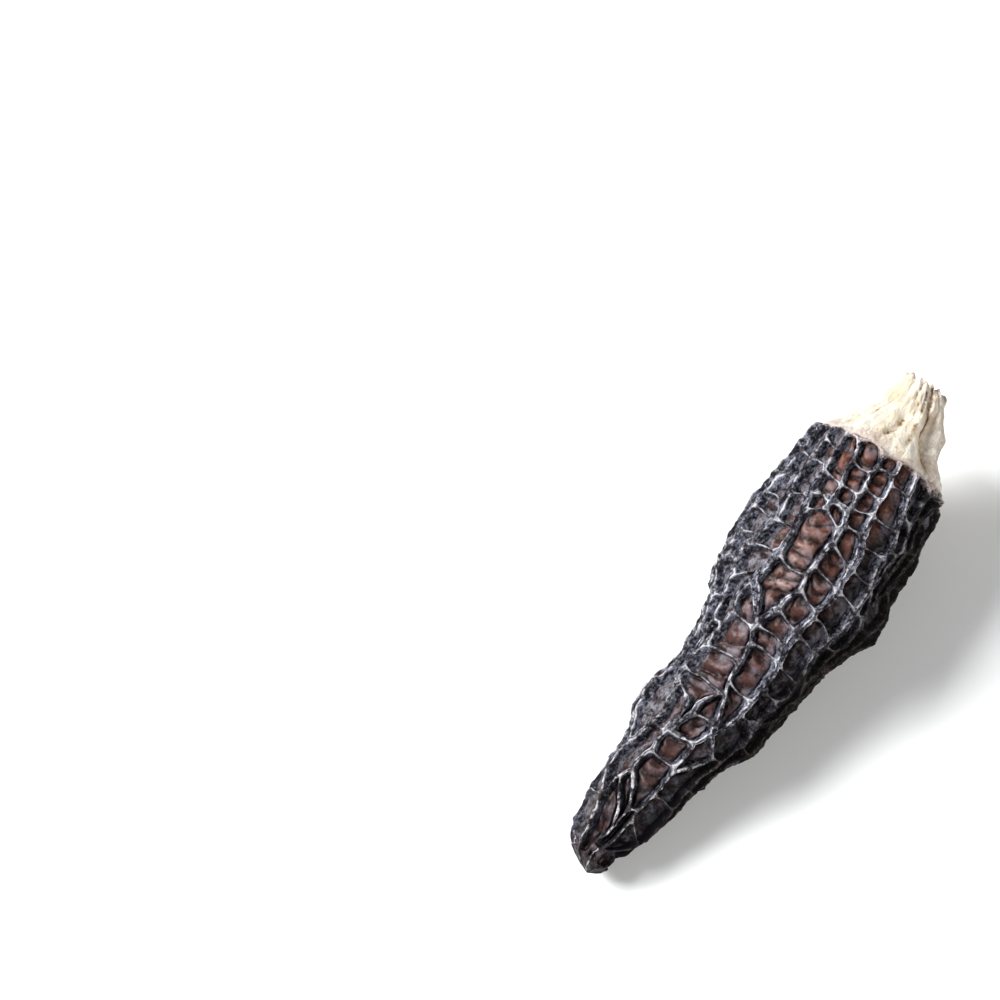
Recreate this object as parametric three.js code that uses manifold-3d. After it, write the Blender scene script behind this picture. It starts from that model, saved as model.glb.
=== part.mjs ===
// A dried black morel, lying on its side.
// One grown body in two organs: a hollow cap with a raised net of ridges round deep pits, and the
// hollow, fluted stump of the stem, cut off short. Millimetres, +Z up. +X runs from the tip to the
// cut end of the stem, and the part rests on the belly and the tip of the cap.

import * as THREE from "three";
import { mergeVertices } from "three/addons/utils/BufferGeometryUtils.js";
import Module from "manifold-3d";

const wasm = await Module();
wasm.setup();

// ---- Driving dimensions, mm -------------------------------------------------------------------

const TIP_ALONG = 64; // from the middle of the cap's base to its tip
const TIP_RING = 62; // the net closes in a ring just short of it
const STEM_END = -10.7; // where the stem is cut, on the same scale
const RIM_MIDDLE = 0.7; // the base of the cap is a slanted plane: its place on the axis
const RIM_SLOPE = 0.076; // and how much it leans from side to side
const JOINT_GAP = 0.3; // between the cap's base and the top of the stem

const PIT_DEPTH = 2.2; // at most, under the crests
const CROSS_SAG = 0.55; // how far the middle of a cross ridge hangs below its ends
const CREST_HALF = 0.34; // half the thickness of a ridge at its top
const FOOT_HALF = 0.64; // and at the floor of the pit
const FLOOR_SWELL = 0.8; // the floors of the pits are cushions
const MOUTH_DROP = 0.22; // the ridges are a little rounded over their crests
const PIT_DEPTH_TO_ROOM = 1.35; // narrow pits are shallower
const PIT_DEPTH_TO_RADIUS = 0.3; // and so are those near the tip
const NET_STEP = 1.7; // length of one facet along a ridge
const SNAP = 0.5; // ridge ends closer than this to a corner of the net share it
const SHARP_CORNER = 0.9; // where two ridges meet sharply, their pit's wall moves in no faster
const PULL_TO_CENTRE = 0.25; // a pit's wall runs partly in from its ridge, partly to its centre
const MOUTH_TO_ROOM = 0.32; // in narrow pits the walls stand closer to the ridges' middles
const FOOT_TO_ROOM = 0.62;
const LEAST_FACET = 0.01; // twice the area of the smallest facet kept, mm2
const WALL = 1.1; // flesh left behind the deepest pit
const CAVITY_END = 46; // where the hollow of the cap closes, along the axis
const CAVITY_SIDES = 18;
const STEM_ROWS = 12;
const STEM_SIDES_ROUND = 66;

const LEAN_DEG = 9.7; // the cone lies on its side, so its axis leans down to the tip
const ROLL_DEG = 10.3; // the finely drawn side is rolled a little to -Y
const FLAT_CUT = 0.6; // how much of the lowest ridges the surface has flattened

// Sides of the cap: [along, left edge, right edge], measured across from the axis.
const CAP_SIDES = [
  [-1.5, -7.2, 7.6],
  [0, -8.7, 9.1],
  [1.3, -9.7, 9.9],
  [6.3, -10.1, 10.2],
  [10, -10.5, 11],
  [13.8, -10.9, 11],
  [17.5, -10.6, 11.8],
  [20, -10.4, 12.1],
  [22.5, -10, 11],
  [25, -9.1, 9.9],
  [27.5, -8.1, 9.4],
  [30, -7.5, 9],
  [35, -7.1, 8.3],
  [37.5, -7.5, 8],
  [40, -8.4, 7.8],
  [42.5, -8.2, 6.6],
  [45, -7.4, 5.6],
  [50, -7, 4.3],
  [55, -6.9, 3.5],
  [57.5, -6.6, 2.8],
  [60, -6, 1.8],
  [61.3, -5.3, 1.5],
  [62.5, -3.8, 1.1],
  [63.4, -2.2, 0.6],
];
const TIP_ACROSS = -0.6;

// Sides of the stem, on the same scale. It flares out to the cap's base.
const STEM_SIDES = [
  [-10.7, -4.1, 1.9],
  [-9.4, -4.3, 2.5],
  [-7.5, -4.6, 4],
  [-6.3, -4.9, 5.1],
  [-5, -5.4, 5.5],
  [-3.8, -6, 5.8],
  [-2.5, -6.5, 6.5],
  [-1.3, -7.5, 7.7],
  [0, -8.5, 8.9],
  [1.3, -9.6, 9.8],
];
// The bore of the stem: [along, radius].
const STEM_BORE = [
  [-10.7, 2.2],
  [-8, 2.6],
  [-5, 3.5],
  [-2.5, 4.4],
  [1.3, 5.6],
];

// Long ridges of the finely drawn side, each a line of [along, across]. A ridge that ends on
// another stands below it in the list.
const LONG_RIDGES = [
  [[1.2, -6.4], [6.3, -6.1], [10, -6.3], [12.5, -5.8], [15.6, -5.1], [17.5, -4.8], [20, -5.4],
    [22.3, -5.3], [23.8, -5.9], [27.5, -5.5], [30, -5.3], [33.8, -6], [37.5, -6.3], [38.8, -5.8],
    [40, -5.4], [43.1, -5.3], [46.3, -5.9], [47.5, -6.3], [50, -6.5], [52.5, -6.3], [54.8, -5.3],
    [57.5, -4.8], [60, -4.2], [62, -3.6]],
  [[1.3, -9.3], [6.3, -9.5], [9.4, -9.9], [13.8, -10.4], [18.8, -10.2], [22.4, -9.8], [25, -8.9],
    [27.5, -7.9], [30, -7.3], [35, -6.9], [38, -7.4], [41, -8.2], [44, -7.6], [47.5, -6.3]],
  [[1.3, -8.1], [6.3, -8.1], [11, -8.3], [13.8, -7.8], [17.5, -7.9], [20, -8.8], [22.5, -8.6],
    [25, -7.6], [27.5, -6.8], [30, -6.4], [33.8, -6]],
  [[1, -4.6], [4.4, -4], [6.3, -3.9], [8.8, -3.3], [11, -3.4], [12.9, -5.6]],
  [[0.6, 1.3], [2.5, 1.1], [5, 1.8], [7.1, 1.5], [9.4, 1.8], [11.3, 2.1], [13.8, 3.4], [16.3, 3.6],
    [21.3, 3.1], [25, 2.6], [27.5, 2.6], [31.3, 3.4], [35, 2.9], [38.5, 2.8], [41.3, 1.5],
    [43.1, 0.3], [45, 0.5], [48.1, 0.4], [52.5, 0], [55.5, -0.3], [57, -0.8], [60.4, -0.8],
    [62, -0.8]],
  [[0.8, -1.1], [2.5, -1], [5, -1.4], [7.5, -1], [10, -1], [12.5, -0.4], [15, -0.4], [16.3, -0.9],
    [18.8, -0.6], [21.3, -0.8], [25, -1.5], [27.1, -2.4], [29, -1.5], [32.5, -1], [36.3, -0.6],
    [38.1, 0.6], [41.3, 1.5]],
  [[0.4, 3.9], [2.5, 4.1], [6.3, 5], [8.8, 6], [12.5, 6.3], [15, 6.8], [20, 6.9], [22.5, 7.1],
    [27.3, 6.3], [30, 6.9], [32.5, 6.9], [33.5, 6], [37.5, 5.4], [42.5, 4.9], [44.4, 4.1],
    [48.8, 3.1], [52.5, 3.2], [55.6, 3], [57.5, 2.4], [59, 1.3], [59.6, 0], [60.4, -0.8]],
  [[0.3, 6.5], [2.3, 6.4], [5, 6.2], [7.5, 7], [11.3, 7.4], [13.8, 7.3], [15.3, 6.8]],
  [[0.1, 8.6], [1.9, 8.2], [4.4, 7.3], [7.5, 8.2], [10, 8.4], [16.3, 8.2], [18.8, 8], [23.8, 8.4],
    [27.5, 8], [30, 7.8], [32.5, 7.9], [35, 7], [37.5, 5.4]],
  [[4.4, 7.3], [5.3, 8.9], [6.9, 9.5], [9, 9.4], [11.9, 9.1], [14.4, 8.9], [16.3, 8.2]],
];

// Ridges that branch off them.
const BRANCHES = [
  [[15.3, 6.8], [16.3, 7.4], [17.5, 8.1]],
  [[11, -3.4], [11.9, -2.3], [12.5, -0.4]],
  [[18.8, -4.9], [19.8, -3.1], [19.4, -1.5], [19, -0.6]],
  [[22.9, -5.3], [24.4, -3.8], [26.3, -3], [27.1, -2.4]],
  [[36.5, -0.5], [37.9, -2.3], [39, -2.5], [40.6, -2.4], [42.5, -3], [45, -3.8], [47.5, -3.9],
    [49.8, -4.4], [51, -3], [52.3, -2.3], [54, -1.6], [56.3, -1.7], [59.4, -2.3], [62, -2.4]],
  [[37.9, -6.2], [38.8, -3.9], [40.3, -3.3], [42.5, -3]],
  [[41.3, 1.5], [43.8, 3.5], [45, 2.5], [47.5, 0.4]],
  [[43.8, 3.5], [43.5, 4.5]],
  [[49.8, -4.4], [51.5, -4.7], [53, -3.8], [54, -3.1], [55.4, -2.5], [57.3, -1.8]],
  [[51.5, -4.7], [53, -5], [54.8, -5.3]],
  [[35, 7], [37.5, 7.4], [40, 7.1], [43, 5.6], [47, 4.7], [51, 4], [53.5, 3.5], [55, 3]],
  [[57.5, 2.4], [59, 1.9], [60.5, 1.4], [62, 1]],
  [[13.5, 8.9], [16, 10.7], [18, 10.9], [19.8, 10.2], [22.4, 9.7], [25, 9.1], [28, 8.7], [32, 8.3],
    [36, 7.1]],
];

// Lower ridges across the columns.
const CROSS_RIDGES = [
  [[5.9, -9.4], [5.9, -8.1]],
  [[9.6, -9.9], [9.5, -8.2]],
  [[12.3, -10.3], [12.4, -8]],
  [[15.1, -10.3], [15.3, -7.8]],
  [[18.4, -10.2], [18.2, -8.1]],
  [[21.6, -9.9], [21.8, -8.7]],
  [[26, -8.5], [26.2, -7.2]],
  [[31, -7.2], [31.2, -6.3]],
  [[6.8, -7.9], [6.6, -6.3]],
  [[11.1, -8.3], [10.6, -6.4]],
  [[3.6, -8], [3.8, -6.2]],
  [[15.2, -7.8], [15, -6.7], [14.6, -5.4]],
  [[19.4, -8.4], [19, -5.2]],
  [[23.5, -8.2], [22.4, -6.6], [21.6, -5.3]],
  [[29.4, -6.5], [28.9, -5.4]],
  [[34, -6.2], [33.8, -6]],
  [[7.1, -6], [7.3, -3.8]],
  [[9.6, -6.2], [9.8, -3.5]],
  [[4.1, -4.1], [4.5, -1.8], [4.2, -1.2]],
  [[7.2, -3.6], [7.8, -1.1]],
  [[9.6, -3.3], [9.8, -1]],
  [[3.1, -1.1], [3.1, 1.2]],
  [[6.3, -1.1], [6.3, 1.6]],
  [[8.8, -1], [8.4, 1.6]],
  [[11.4, -0.6], [11.6, 0.8], [11.3, 2]],
  [[14.3, -0.4], [14.9, 0.6], [15.1, 1.8], [14.9, 3.5]],
  [[17.5, -0.8], [17.9, 1.5], [18.1, 3.4]],
  [[20.8, -0.7], [21.5, 1], [22.4, 3]],
  [[24.5, -1.4], [24.8, 0.5], [24.9, 2.6]],
  [[26.9, -2.3], [27.1, 0.6], [27.8, 2.6]],
  [[29.5, -1.4], [29.1, 1], [29.5, 3]],
  [[34.8, -0.8], [35.1, 1], [35, 2.9]],
  [[3.8, 1.5], [3.6, 4.3]],
  [[8.8, 1.8], [8, 5.6]],
  [[12, 2.6], [11.5, 6.2]],
  [[15.5, 3.5], [15.4, 6.8]],
  [[18.8, 3.4], [18.6, 6.9]],
  [[22.8, 2.9], [22.4, 4.1], [23.3, 6.9]],
  [[25.6, 2.6], [26, 6.5]],
  [[29.8, 3.2], [30, 6.9]],
  [[33, 3.2], [33.5, 6]],
  [[37, 2.8], [37.4, 5.4]],
  [[27.8, -5.5], [27.8, -2]],
  [[32.6, -5.7], [32.1, -2.8], [32.5, -1]],
  [[36.3, -6.2], [36, -2.8], [36.9, -1]],
  [[40.6, -2.5], [39.8, 0.9]],
  [[43.8, -3.3], [43.8, 0.4]],
  [[46.9, -3.8], [47.1, -1.9], [46.9, 0.5]],
  [[44, -5.4], [44.4, -3.6]],
  [[51.3, 0], [51.1, 3.1]],
  [[54.6, -1.6], [53.8, -0.2]],
  [[31, 7.9], [31.2, 8.5]],
  [[42, 5.9], [41.6, 6.8]],
  [[55.6, -0.5], [57.5, 2.4]],
  [[60.5, -2.4], [60.4, -0.8]],
  [[6, 5], [6.5, 6.6]],
  [[10, 6.1], [10.2, 7.2]],
  [[5, 6.2], [4.4, 7.3]],
  [[9.5, 7.2], [9.8, 8.4]],
  [[13, 7.4], [13, 8.3]],
  [[19, 6.8], [19.4, 8]],
  [[24.5, 6.9], [24, 8.4]],
  [[29, 6.7], [29.4, 7.8]],
  [[40, 5.2], [40.5, 7]],
  [[48, 3.4], [48.4, 4.5]],
  [[9, 8.4], [9, 9.4]],
  [[20, 8.1], [19.8, 10]],
  [[26.5, 8.1], [26.6, 8.9]],
];

// The hidden side follows a rule with a seeded draw, between the two outermost drawn ridges.
const BACK_FROM = 1.35; // turns, in radians from the middle of the drawn side
const BACK_TO = 2 * Math.PI - 1.45;
const BACK_ENDS = [44, 62, 33, 62, 50, 62, 36, 62, 46]; // how far each ridge runs
const BACK_WIDTH = (BACK_TO - BACK_FROM) / BACK_ENDS.length;
const BACK_CROSS_STEP = 5.2;
const LADDER_CLEAR = 2.5; // cross ridges stay this far from where two long ones meet
const SEED = 3;

// Creases of the stem: [turn, depth, half width in radians, from, to].
const STEM_CREASES = [
  [0.6, 1.1, 0.2, -7.4, 0.5],
  [-0.28, 0.55, 0.14, -5.5, 0.8],
  [0.15, 0.35, 0.1, -10.7, -5],
  [-0.6, 0.45, 0.14, -10.2, -6],
  [-1.1, 0.6, 0.2, -8, 0.5],
  [1.25, 0.7, 0.2, -9, 0.5],
  [1.9, 0.8, 0.2, -9, -1],
  [2.5, 0.6, 0.16, -7, 0.5],
  [3.1, 1, 0.2, -8, 0.3],
  [3.7, 0.5, 0.15, -9.5, -3],
  [4.3, 0.9, 0.2, -7.5, 0.5],
];

// ---- Curves and angles ------------------------------------------------------------------------

// A seeded draw between 0 and 1.
function drawFrom(seed) {
  let state = seed;
  return () => {
    state = (state * 1664525 + 1013904223) % 4294967296;
    return state / 4294967296;
  };
}

// A smooth curve through rows of [place, ..., value], read at any place.
function smooth(rows, column) {
  const slopes = rows.map((row, i) => {
    const before = rows[Math.max(i - 1, 0)];
    const after = rows[Math.min(i + 1, rows.length - 1)];
    return (after[column] - before[column]) / (after[0] - before[0]);
  });
  return (place) => {
    const x = THREE.MathUtils.clamp(place, rows[0][0], rows[rows.length - 1][0]);
    const next = rows.findIndex((row) => row[0] > x);
    const i = next < 0 ? rows.length - 2 : next - 1;
    const width = rows[i + 1][0] - rows[i][0];
    const t = (x - rows[i][0]) / width;
    const bend = t * t * (3 - 2 * t);
    const rise = rows[i + 1][column] - rows[i][column];
    const ease = slopes[i] * (1 - t) - slopes[i + 1] * t;
    return rows[i][column] + bend * rise + t * (1 - t) * ((ease * width) - rise * (1 - 2 * t));
  };
}

// An angle brought into -PI to PI.
function shortWay(turn) {
  return turn - 2 * Math.PI * Math.round(turn / (2 * Math.PI));
}

const capLeft = smooth(CAP_SIDES, 1);
const capRight = smooth(CAP_SIDES, 2);
const capRadius = (along) => (capRight(along) - capLeft(along)) / 2;
const capMiddle = (along) => (capRight(along) + capLeft(along)) / 2;

// Across is measured on the drawn side; the turn is the angle round the axis, 0 facing up.
function turnOf(along, across) {
  const sine = (across - capMiddle(along)) / capRadius(along);
  return Math.asin(THREE.MathUtils.clamp(sine, -0.985, 0.985));
}

// A point on the cap: x runs back along the axis, -y across, z up.
function capPoint(along, turn, depth) {
  const radius = capRadius(along) - depth;
  return [-along, -capMiddle(along) - radius * Math.sin(turn), radius * Math.cos(turn)];
}

// The slanted base of the cap, at one turn.
function rimAlong(turn) {
  let along = RIM_MIDDLE;
  for (let i = 0; i < 6; i++) {
    along = RIM_MIDDLE - RIM_SLOPE * (capMiddle(along) + capRadius(along) * Math.sin(turn));
  }
  return along;
}

// ---- The net: corners {along, turn, sag} and edges between them ---------------------------------

const corners = [];
const edges = [];

// From corner or place a to b, in mm on the surface: [down the axis, round it].
function across(a, b) {
  const radius = capRadius((a.along + b.along) / 2);
  return [b.along - a.along, radius * shortWay(b.turn - a.turn)];
}

function addCorner(along, turn, sag) {
  corners.push({ along, turn: shortWay(turn), sag });
  return corners.length - 1;
}

function addEdge(a, b) {
  const known = edges.some(([c, d]) => (a === c && b === d) || (a === d && b === c));
  if (a !== b && !known) {
    edges.push([a, b]);
  }
}

// The nearest place on the net: {edge, share along it, distance}.
function nearestOnNet(place) {
  let best = { distance: Infinity };
  edges.forEach(([a, b], edge) => {
    const [ax, ay] = across(place, corners[a]);
    const [ex, ey] = across(corners[a], corners[b]);
    const share = THREE.MathUtils.clamp(-(ax * ex + ay * ey) / (ex * ex + ey * ey), 0, 1);
    const distance = Math.hypot(ax + share * ex, ay + share * ey);
    if (distance < best.distance) {
      best = { edge, share, distance };
    }
  });
  return best;
}

// The corner of the net where a ridge starting or ending at this place joins it.
function joinNet(place) {
  const { edge, share } = nearestOnNet(place);
  const [a, b] = edges[edge];
  const [ex, ey] = across(corners[a], corners[b]);
  const length = Math.hypot(ex, ey);
  if (share * length < SNAP) {
    return a;
  }
  if ((1 - share) * length < SNAP) {
    return b;
  }
  const between = (key) => corners[a][key] + share * (corners[b][key] - corners[a][key]);
  const turn = corners[a].turn + share * shortWay(corners[b].turn - corners[a].turn);
  const added = addCorner(between("along"), turn, between("sag"));
  edges.splice(edge, 1, [a, added], [added, b]);
  return added;
}

// Even places along a line of places, about one NET_STEP apart.
function evenPlaces(line) {
  const lengths = line.slice(1).map((place, i) => Math.hypot(...across(line[i], place)));
  const total = lengths.reduce((sum, length) => sum + length, 0);
  const count = Math.max(1, Math.round(total / NET_STEP));
  return Array.from({ length: count + 1 }, (_, k) => {
    let left = (total * k) / count;
    let i = 0;
    while (i < lengths.length - 1 && left > lengths[i]) {
      left -= lengths[i];
      i += 1;
    }
    const share = lengths[i] > 0 ? Math.min(left / lengths[i], 1) : 0;
    const [a, b] = [line[i], line[i + 1]];
    const turn = a.turn + share * shortWay(b.turn - a.turn);
    return { along: a.along + share * (b.along - a.along), turn };
  });
}

// One ridge: both ends join what is there, and its middle may sag.
function addRidge(line, sag) {
  const first = joinNet(line[0]);
  const last = joinNet(line[line.length - 1]);
  const route = evenPlaces([corners[first], ...line.slice(1, -1), corners[last]]);
  let from = first;
  route.slice(1, -1).forEach((place, i) => {
    const hang = sag * Math.sin((Math.PI * (i + 1)) / (route.length - 1));
    const to = addCorner(place.along, place.turn, hang);
    addEdge(from, to);
    from = to;
  });
  addEdge(from, last);
}

// A closed ring round the cap.
function addRing(alongAt, radius) {
  const count = Math.round((2 * Math.PI * radius) / NET_STEP);
  const first = corners.length;
  for (let i = 0; i < count; i++) {
    const turn = (2 * Math.PI * i) / count;
    addCorner(alongAt(turn), turn, 0);
  }
  for (let i = 0; i < count; i++) {
    addEdge(first + i, first + ((i + 1) % count));
  }
}

function places(line) {
  return line.map(([along, side]) => ({ along, turn: turnOf(along, side) }));
}

// A cross ridge through a seed place: it reaches out both ways to what bounds the seed's pit.
function addCrossRidge(along, turn, slant) {
  const reach = (way) => {
    const start = along + way * slant;
    const far = nearestRound(start, turn, way);
    return { along: start, turn: turn + way * far };
  };
  addRidge([reach(-1), { along, turn }, reach(1)], CROSS_SAG);
}

// How far round the cap the nearest ridge lies from a place, going one way.
function nearestRound(along, turn, way) {
  let nearest = Infinity;
  edges.forEach(([a, b]) => {
    const [low, high] = [corners[a], corners[b]].sort((p, q) => p.along - q.along);
    if (low.along <= along && along < high.along) {
      const share = (along - low.along) / (high.along - low.along);
      const there = low.turn + share * shortWay(high.turn - low.turn);
      const gap = way * shortWay(there - turn);
      nearest = Math.min(nearest, gap < 0 ? gap + 2 * Math.PI : gap);
    }
  });
  return nearest;
}

// The hidden side: wavy long ridges, every other one joining its neighbour before the tip.
function backLine(k, draw) {
  const end = BACK_ENDS[k];
  const turn = BACK_FROM + (BACK_WIDTH * (k + 0.5));
  const phase = draw() * 6;
  const swing = 0.05 + 0.05 * draw();
  const line = [];
  for (let along = rimAlong(turn); along < end - 2; along += 3) {
    line.push({ along, turn: turn + swing * Math.sin(phase + along / 4) });
  }
  const way = draw() < 0.5 ? -1 : 1;
  line.push({ along: end, turn: end < TIP_RING ? turn + way * BACK_WIDTH : turn });
  return line;
}

function addBack() {
  const draw = drawFrom(SEED);
  const lines = BACK_ENDS.map((_, k) => backLine(k, draw));
  lines.filter((_, k) => BACK_ENDS[k] >= TIP_RING).forEach((line) => addRidge(line, 0));
  lines.filter((_, k) => BACK_ENDS[k] < TIP_RING).forEach((line) => addRidge(line, 0));
  BACK_ENDS.forEach((end, k) => {
    const turn = BACK_FROM + BACK_WIDTH * k;
    const shorter = Math.min(end, BACK_ENDS[k - 1] ?? TIP_RING);
    addLadder(turn, 3.5 + 3 * draw(), shorter - LADDER_CLEAR, draw);
    addLadder(turn + BACK_WIDTH / 2, end + LADDER_CLEAR, TIP_RING - 1.5, draw);
  });
  addLadder(BACK_TO, 5, BACK_ENDS[BACK_ENDS.length - 1] - LADDER_CLEAR, draw);
}

// Cross ridges down one column of the hidden side.
function addLadder(turn, from, to, draw) {
  for (let along = from; along < to; along += BACK_CROSS_STEP * (0.7 + 0.6 * draw())) {
    addCrossRidge(along, turn, 1.2 * (draw() - 0.5));
  }
}

function buildNet() {
  addRing(rimAlong, capRadius(RIM_MIDDLE));
  addRing(() => TIP_RING, capRadius(TIP_RING));
  LONG_RIDGES.forEach((line) => addRidge(places(line), 0));
  BRANCHES.forEach((line) => addRidge(places(line), 0));
  CROSS_RIDGES.forEach((line) => addRidge(places(line), CROSS_SAG));
  addBack();
}

buildNet();

// ---- The pits: faces of the net, walked round with the pit on the left --------------------------

// For each corner, the corners it leads to, in the order of their bearings.
function waysFromCorners() {
  const ways = corners.map(() => []);
  edges.forEach(([a, b]) => {
    ways[a].push(b);
    ways[b].push(a);
  });
  ways.forEach((ends, a) => {
    const bearing = (b) => {
      const [x, y] = across(corners[a], corners[b]);
      return Math.atan2(y, x);
    };
    ends.sort((b, c) => bearing(b) - bearing(c));
  });
  return ways;
}

function facesOfNet() {
  const ways = waysFromCorners();
  const seen = new Set();
  const walk = ([from, to]) => {
    const face = [];
    let [a, b] = [from, to];
    while (!seen.has(a + ">" + b)) {
      seen.add(a + ">" + b);
      face.push(a);
      const back = ways[b].indexOf(a);
      const turned = ways[b][(back + ways[b].length - 1) % ways[b].length];
      [a, b] = [b, turned];
    }
    return face;
  };
  const bothWays = edges.flatMap(([a, b]) => [[a, b], [b, a]]);
  return bothWays.map(walk).filter((face) => face.length > 0);
}

// How far a face goes round the axis: 0 for a pit, a full turn for the rings at both ends.
function turnsRound(face) {
  const sum = face.reduce((total, a, i) => {
    return total + shortWay(corners[face[(i + 1) % face.length]].turn - corners[a].turn);
  }, 0);
  return Math.round(sum / (2 * Math.PI));
}

// A pit's outline laid flat: [down the axis, round it] in mm, from its first corner.
function flatOutline(face) {
  const start = corners[face[0]];
  const middle = face.reduce((sum, a) => sum + corners[a].along, 0) / face.length;
  const radius = capRadius(middle);
  return face.map((a) => [corners[a].along, radius * shortWay(corners[a].turn - start.turn)]);
}

function doubleArea([ax, ay], [bx, by], [cx, cy]) {
  return (bx - ax) * (cy - ay) - (by - ay) * (cx - ax);
}

function outlineArea(points) {
  return points.reduce((sum, [x, y], i) => {
    const [nx, ny] = points[(i + 1) % points.length];
    return sum + (x * ny - y * nx) / 2;
  }, 0);
}

function outlineLength(points) {
  return points.reduce((sum, [x, y], i) => {
    const [nx, ny] = points[(i + 1) % points.length];
    return sum + Math.hypot(nx - x, ny - y);
  }, 0);
}

function centreOf(points) {
  const area = outlineArea(points);
  const sums = points.reduce(([sx, sy], [x, y], i) => {
    const [nx, ny] = points[(i + 1) % points.length];
    const piece = x * ny - y * nx;
    return [sx + (x + nx) * piece, sy + (y + ny) * piece];
  }, [0, 0]);
  return [sums[0] / (6 * area), sums[1] / (6 * area)];
}

// The outline moved inwards by a distance, along each corner's own bisector for the most part.
function inset(points, distance, centre) {
  return points.map(([x, y], i) => {
    const [px, py] = points[(i + points.length - 1) % points.length];
    const [nx, ny] = points[(i + 1) % points.length];
    const before = Math.hypot(x - px, y - py);
    const after = Math.hypot(nx - x, ny - y);
    const inX = -(y - py) / before - (ny - y) / after;
    const inY = (x - px) / before + (nx - x) / after;
    const half = Math.max(Math.hypot(inX, inY), SHARP_CORNER);
    const step = ((1 - PULL_TO_CENTRE) * 2 * distance) / (half * half);
    const [toX, toY] = [centre[0] - x, centre[1] - y];
    const share = PULL_TO_CENTRE * Math.min(0.75, (1.2 * distance) / Math.hypot(toX, toY));
    return [x + inX * step + toX * share, y + inY * step + toY * share];
  });
}

// True if no facet between two rings is turned over or empty.
function liesFlat(outer, inner) {
  return outer.every((point, i) => {
    const next = (i + 1) % outer.length;
    const first = doubleArea(point, outer[next], inner[next]);
    const second = doubleArea(point, inner[next], inner[i]);
    return first > LEAST_FACET && second > LEAST_FACET;
  });
}

// The point that all sides face, as far from the nearest side as a walk can bring it.
function hubOf(points) {
  const clearance = ([x, y]) => points.reduce((least, [ax, ay], i) => {
    const [bx, by] = points[(i + 1) % points.length];
    const length = Math.hypot(bx - ax, by - ay);
    const gap = doubleArea([ax, ay], [bx, by], [x, y]) / length;
    return gap < least.gap ? { gap, inX: -(by - ay) / length, inY: (bx - ax) / length } : least;
  }, { gap: Infinity });
  let place = centreOf(points);
  let best = { place, gap: clearance(place).gap };
  for (let step = 0.3; step > 0.02; step *= 0.95) {
    const side = clearance(place);
    place = [place[0] + step * side.inX, place[1] + step * side.inY];
    const { gap } = clearance(place);
    if (gap > best.gap) {
      best = { place, gap };
    }
  }
  return best;
}

function drawnIn(points, [x, y], share) {
  return points.map(([px, py]) => [px + (x - px) * share, py + (y - py) * share]);
}

// The rings of one pit, laid flat: the edge of its mouth, the foot of its walls, and its hub.
function pitRings(outline) {
  const centre = centreOf(outline);
  const room = (2 * outlineArea(outline)) / outlineLength(outline);
  for (let share = 1; share > 0.4; share *= 0.88) {
    const mouth = inset(outline, share * Math.min(CREST_HALF, MOUTH_TO_ROOM * room), centre);
    const foot = inset(outline, share * Math.min(FOOT_HALF, FOOT_TO_ROOM * room), centre);
    const hub = hubOf(foot);
    if (liesFlat(outline, mouth) && liesFlat(mouth, foot) && hub.gap > 0.1) {
      return { mouth, foot, hub: hub.place, room };
    }
  }
  const hub = hubOf(outline);
  const mouth = drawnIn(outline, hub.place, Math.min(0.4, CREST_HALF / hub.gap));
  const foot = drawnIn(outline, hub.place, Math.min(0.7, FOOT_HALF / hub.gap));
  return { mouth, foot, hub: hub.place, room };
}

// ---- Meshes -----------------------------------------------------------------------------------

function geometryOf(points, triangles) {
  const geometry = new THREE.BufferGeometry();
  geometry.setAttribute("position", new THREE.Float32BufferAttribute(points.flat(), 3));
  geometry.setIndex(triangles.flat());
  return geometry;
}

function solidOf(geometry) {
  geometry.deleteAttribute("normal");
  geometry.deleteAttribute("uv");
  const merged = mergeVertices(geometry, 1e-4);
  const vertProperties = merged.getAttribute("position").array;
  const triVerts = new Uint32Array(merged.index.array);
  return new wasm.Manifold(new wasm.Mesh({ numProp: 3, vertProperties, triVerts }));
}

function geometryOfSolid(solid) {
  const { vertProperties, triVerts } = solid.getMesh();
  const geometry = new THREE.BufferGeometry();
  geometry.setAttribute("position", new THREE.BufferAttribute(vertProperties, 3));
  geometry.setIndex(new THREE.BufferAttribute(triVerts, 1));
  geometry.computeVertexNormals();
  return geometry;
}

// Triangles between two rings of the same count, the outer one walked with the inner on its left.
function ringTriangles(outer, inner) {
  return outer.flatMap((a, i) => {
    const next = (i + 1) % outer.length;
    return [[a, outer[next], inner[next]], [a, inner[next], inner[i]]];
  });
}

function fanTriangles(ring, hub) {
  return ring.map((a, i) => [a, ring[(i + 1) % ring.length], hub]);
}

// One pit, from its crests over the edge of its mouth and down its walls to the hub of its floor.
function addPit(face, addPoint, addTriangles) {
  const outline = flatOutline(face);
  const { mouth, foot, hub, room } = pitRings(outline);
  const start = corners[face[0]];
  const radius = capRadius(outline.reduce((sum, [along]) => sum + along, 0) / face.length);
  const depth = Math.min(PIT_DEPTH, PIT_DEPTH_TO_ROOM * room, PIT_DEPTH_TO_RADIUS * radius);
  const sunk = ([x, y], down) => addPoint(capPoint(x, start.turn + y / radius, down));
  const mouthRing = mouth.map((spot, i) => sunk(spot, corners[face[i]].sag + MOUTH_DROP));
  const footRing = foot.map((spot) => sunk(spot, depth));
  addTriangles(ringTriangles(face, mouthRing));
  addTriangles(ringTriangles(mouthRing, footRing));
  addTriangles(fanTriangles(footRing, sunk(hub, depth - FLOOR_SWELL * Math.min(1, room / 2))));
}

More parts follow.
